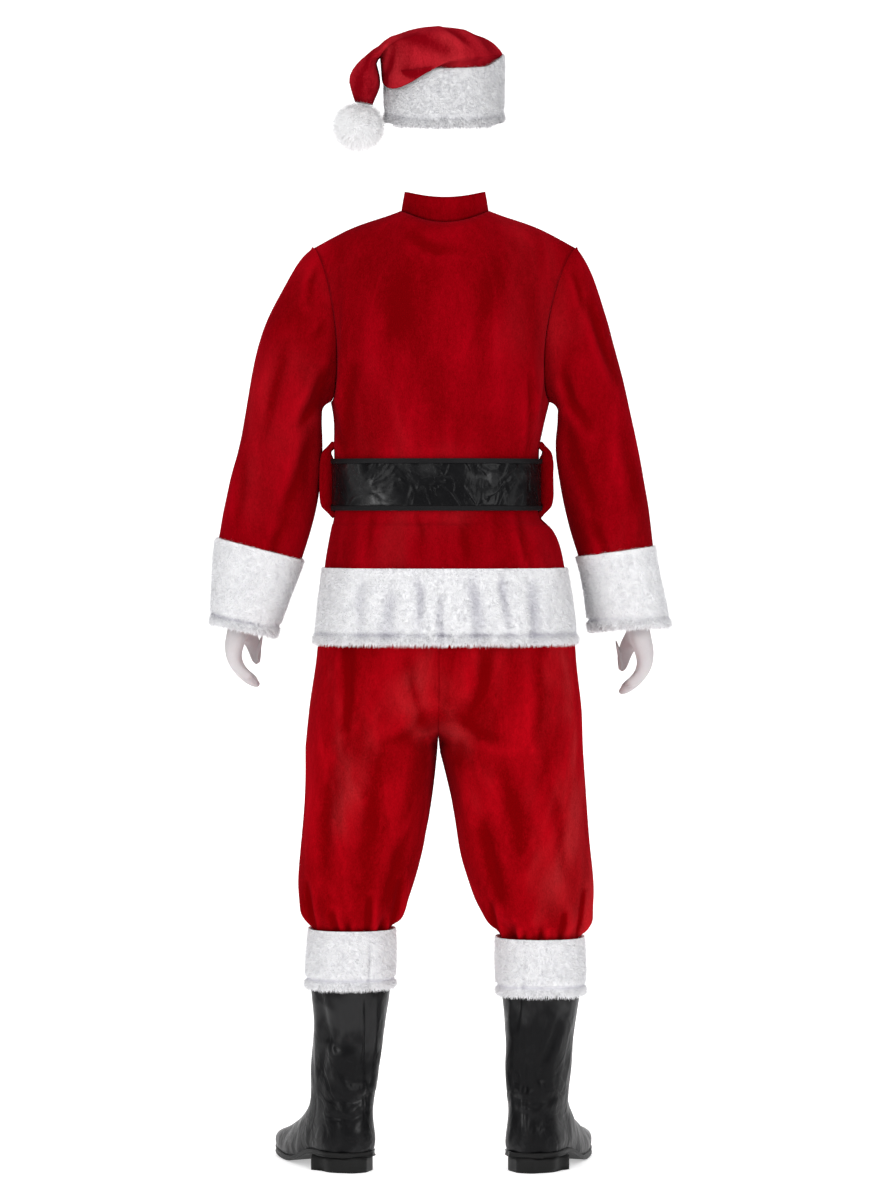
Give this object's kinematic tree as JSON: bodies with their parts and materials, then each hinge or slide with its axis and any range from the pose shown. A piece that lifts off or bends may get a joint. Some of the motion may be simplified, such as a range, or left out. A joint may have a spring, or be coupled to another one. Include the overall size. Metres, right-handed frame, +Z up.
{
  "type": "santa suit",
  "caption": "Worn red plush jacket and trousers with white trims, belt, stocking hat, gloves and boot covers, holding a wearer's form with no wearer",
  "frame": {"origin": "on the wearer's centre line, level with the foot of the neck, where the shoulders hold the jacket; the heels stand 1.56 m below it", "axes": "+Z up, +X to the wearer's left, -Y to the wearer's front"},
  "size_m": [0.7721, 0.3798, 1.891],
  "materials": {
    "red_plush": "short brushed pile, matt with a soft nap",
    "white_plush": "long fluffy pile, matt",
    "black_vinyl": "smooth coated fabric, glossy",
    "black_binding": "folded tape, satin",
    "sole_rubber": "moulded, matt",
    "glove_knit": "fine cotton knit, matt",
    "buckle_metal": "plain, satin"
  },
  "bodies": {
    "root": {"belt_binding_lower": "black_binding", "belt_binding_upper": "black_binding", "belt_loop_left": "red_plush", "belt_loop_right": "red_plush", "belt_strap": "black_vinyl", "boot_left": "black_vinyl", "boot_right": "black_vinyl", "boot_top_left": "white_plush", "boot_top_right": "white_plush", "buckle": "buckle_metal", "collar": "red_plush", "cuff_left": "white_plush", "cuff_right": "white_plush", "front_band": "white_plush", "glove_left": "glove_knit", "glove_right": "glove_knit", "hat_band": "white_plush", "hat_crown": "red_plush", "hat_pompom": "white_plush", "heel_left": "sole_rubber", "heel_right": "sole_rubber", "hem_back": "white_plush", "hem_front_left": "white_plush", "hem_front_right": "white_plush", "jacket_back": "red_plush", "jacket_front_left": "red_plush", "jacket_front_right": "red_plush", "sleeve_left": "red_plush", "sleeve_right": "red_plush", "sole_left": "sole_rubber", "sole_right": "sole_rubber", "trouser_back_left": "red_plush", "trouser_back_right": "red_plush", "trouser_front_left": "red_plush", "trouser_front_right": "red_plush"}
  },
  "joints": []
}
